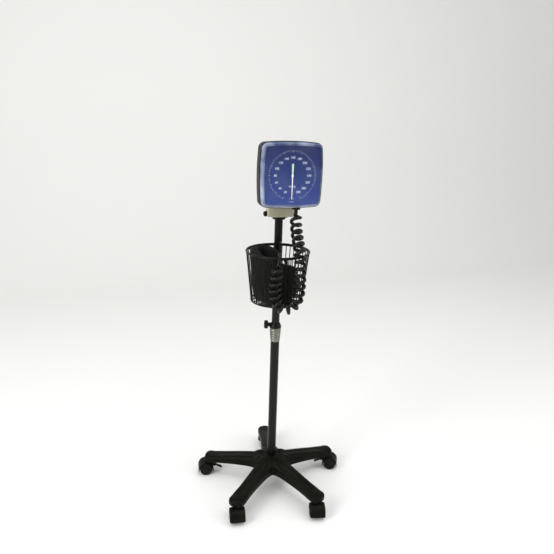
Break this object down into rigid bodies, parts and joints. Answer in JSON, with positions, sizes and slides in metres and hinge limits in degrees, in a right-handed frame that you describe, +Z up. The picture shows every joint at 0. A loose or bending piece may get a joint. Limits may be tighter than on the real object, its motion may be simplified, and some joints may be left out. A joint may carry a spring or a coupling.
{
  "type": "mobile aneroid sphygmomanometer",
  "caption": "Floor-standing aneroid blood-pressure gauge on a height-adjustable pole with a wire basket, curly hose, cuff and a castered star base.",
  "frame": {"origin": "on the floor under the middle of the footprint box; the pole stands a few millimetres from it", "axes": "+Z up; the gauge faces -Y; +X to the right of someone who reads the gauge"},
  "size_m": [0.4506, 0.4506, 1.0395],
  "materials": {
    "black_plastic": "fine matt moulded black",
    "black_rubber": "smooth black rubber",
    "black_coating": "black plastic-coated wire",
    "chromed_steel": "bright chromed tube",
    "bright_steel": "bright steel",
    "grey_paint": "grey-beige painted steel plate",
    "blue_dial": "satin blue dial print",
    "clear_plastic": "clear acrylic",
    "white_paint": "white painted aluminium",
    "brass": "plain brass",
    "dark_cloth": "dark woven cloth"
  },
  "bodies": {
    "base": {"star_base": "black_plastic", "base_bolt": "bright_steel", "tube_plug": "black_plastic", "lower_tube": "chromed_steel", "clamp_collar": "chromed_steel", "lock_ring": "black_plastic", "caster_1_stem": "bright_steel", "caster_2_stem": "bright_steel", "caster_3_stem": "bright_steel", "caster_4_stem": "bright_steel", "caster_5_stem": "bright_steel"},
    "lock_knob_body": {"lock_knob": "black_plastic"},
    "glide": {"glide_bush": "black_plastic"},
    "mast": {"upper_tube": "chromed_steel", "head_block": "black_plastic", "basket": "black_coating", "basket_clamp": "black_plastic", "clamp_screw": "bright_steel", "cuff": "dark_cloth", "bulb": "black_rubber", "bulb_tube": "black_rubber", "valve_body": "bright_steel", "curly_hose": "black_rubber"},
    "valve": {"valve_screw": "bright_steel"},
    "button": {"snap_button": "bright_steel"},
    "head": {"yoke": "grey_paint", "tilt_axle": "bright_steel", "yoke_screw_left": "bright_steel", "yoke_screw_right": "bright_steel", "rear_case": "black_plastic", "dial_plate": "blue_dial", "lens_cover": "clear_plastic", "movement": "brass", "capsule": "brass", "hose_inlet": "black_plastic"},
    "nut": {"tilt_nut": "black_plastic"},
    "pointer": {"needle": "white_paint", "needle_arbor": "bright_steel"},
    "caster_1": {"caster_1_fork": "black_plastic"},
    "wheels_1": {"caster_1_axle": "bright_steel", "caster_1_wheel_left": "black_rubber", "caster_1_wheel_right": "black_rubber"},
    "caster_2": {"caster_2_fork": "black_plastic"},
    "wheels_2": {"caster_2_axle": "bright_steel", "caster_2_wheel_left": "black_rubber", "caster_2_wheel_right": "black_rubber"},
    "caster_3": {"caster_3_fork": "black_plastic"},
    "wheels_3": {"caster_3_axle": "bright_steel", "caster_3_wheel_left": "black_rubber", "caster_3_wheel_right": "black_rubber"},
    "caster_4": {"caster_4_fork": "black_plastic"},
    "wheels_4": {"caster_4_axle": "bright_steel", "caster_4_wheel_left": "black_rubber", "caster_4_wheel_right": "black_rubber"},
    "caster_5": {"caster_5_fork": "black_plastic"},
    "wheels_5": {"caster_5_axle": "bright_steel", "caster_5_wheel_left": "black_rubber", "caster_5_wheel_right": "black_rubber"},
    "pedal_2": {"caster_2_pedal": "black_plastic"},
    "pedal_5": {"caster_5_pedal": "black_plastic"}
  },
  "joints": [
    {"name": "caster_1_swivel", "type": "hinge", "parent": "base", "child": "caster_1", "pos_m": [0.02038, 0.18374, 0.045], "axis": [0, 0, 1], "continuous": true},
    {"name": "caster_1_roll", "type": "hinge", "parent": "caster_1", "child": "wheels_1", "pos_m": [0.03152, 0.19378, 0.01962], "axis": [-0.6691, 0.7431, 0], "continuous": true},
    {"name": "caster_2_swivel", "type": "hinge", "parent": "base", "child": "caster_2", "pos_m": [-0.1846, 0.0811, 0.045], "axis": [0, 0, 1], "continuous": true},
    {"name": "caster_2_roll", "type": "hinge", "parent": "caster_2", "child": "wheels_2", "pos_m": [-0.19951, 0.08267, 0.01962], "axis": [-0.1045, -0.9945, 0], "continuous": true},
    {"name": "caster_3_swivel", "type": "hinge", "parent": "base", "child": "caster_3", "pos_m": [-0.15032, -0.14556, 0.045], "axis": [0, 0, 1], "continuous": true},
    {"name": "caster_3_roll", "type": "hinge", "parent": "caster_3", "child": "wheels_3", "pos_m": [-0.15188, -0.16048, 0.01962], "axis": [0.9945, -0.1045, 0], "continuous": true},
    {"name": "caster_4_swivel", "type": "hinge", "parent": "base", "child": "caster_4", "pos_m": [0.07584, -0.183, 0.045], "axis": [0, 0, 1], "continuous": true},
    {"name": "caster_4_roll", "type": "hinge", "parent": "caster_4", "child": "wheels_4", "pos_m": [0.07272, -0.19767, 0.01962], "axis": [0.9781, -0.2079, 0], "continuous": true},
    {"name": "caster_5_swivel", "type": "hinge", "parent": "base", "child": "caster_5", "pos_m": [0.18133, 0.02052, 0.045], "axis": [0, 0, 1], "continuous": true},
    {"name": "caster_5_roll", "type": "hinge", "parent": "caster_5", "child": "wheels_5", "pos_m": [0.19493, 0.01418, 0.01962], "axis": [0.4226, 0.9063, 0], "continuous": true},
    {"name": "caster_2_brake", "type": "hinge", "parent": "caster_2", "child": "pedal_2", "pos_m": [-0.17286, 0.07986, 0.027], "axis": [-0.1045, -0.9945, 0], "range_deg": [0, 32]},
    {"name": "caster_5_brake", "type": "hinge", "parent": "caster_5", "child": "pedal_5", "pos_m": [0.17064, 0.0255, 0.027], "axis": [0.4226, 0.9063, 0], "range_deg": [0, 32]},
    {"name": "height_slide", "type": "slide", "parent": "base", "child": "glide", "axis": [0, 0, 1], "range_m": [-0.06, 0.28]},
    {"name": "mast_swivel", "type": "hinge", "parent": "glide", "child": "mast", "pos_m": [-0.01147, -0.00864, 0.508], "axis": [0, 0, 1], "continuous": true},
    {"name": "lock_turn", "type": "hinge", "parent": "base", "child": "lock_knob_body", "pos_m": [-0.01147, -0.00864, 0.5228], "axis": [-0.9563, 0.2924, 0], "range_deg": [0, 360]},
    {"name": "head_tilt", "type": "hinge", "parent": "mast", "child": "head", "pos_m": [-0.01147, -0.02664, 0.848], "axis": [1, 0, 0], "range_deg": [-15, 15], "deforming": ["curly_hose"]},
    {"name": "tilt_nut_turn", "type": "hinge", "parent": "head", "child": "nut", "pos_m": [-0.01147, -0.02664, 0.848], "axis": [-1, 0, 0], "range_deg": [0, 360]},
    {"name": "pointer_turn", "type": "hinge", "parent": "head", "child": "pointer", "pos_m": [-0.01147, -0.11164, 0.957], "axis": [0, 1, 0], "range_deg": [0, 337.5], "stiffness_Nm_per_rad": 0.0004},
    {"name": "button_press", "type": "slide", "parent": "mast", "child": "button", "axis": [0.5736, -0.8192, 0], "range_m": [-0.0024, 0], "stiffness_N_per_m": 600},
    {"name": "valve_turn", "type": "hinge", "parent": "mast", "child": "valve", "pos_m": [0.01171, -0.06279, 0.669], "axis": [-0.2314, 0.0707, 0.9703], "range_deg": [0, 360]}
  ]
}
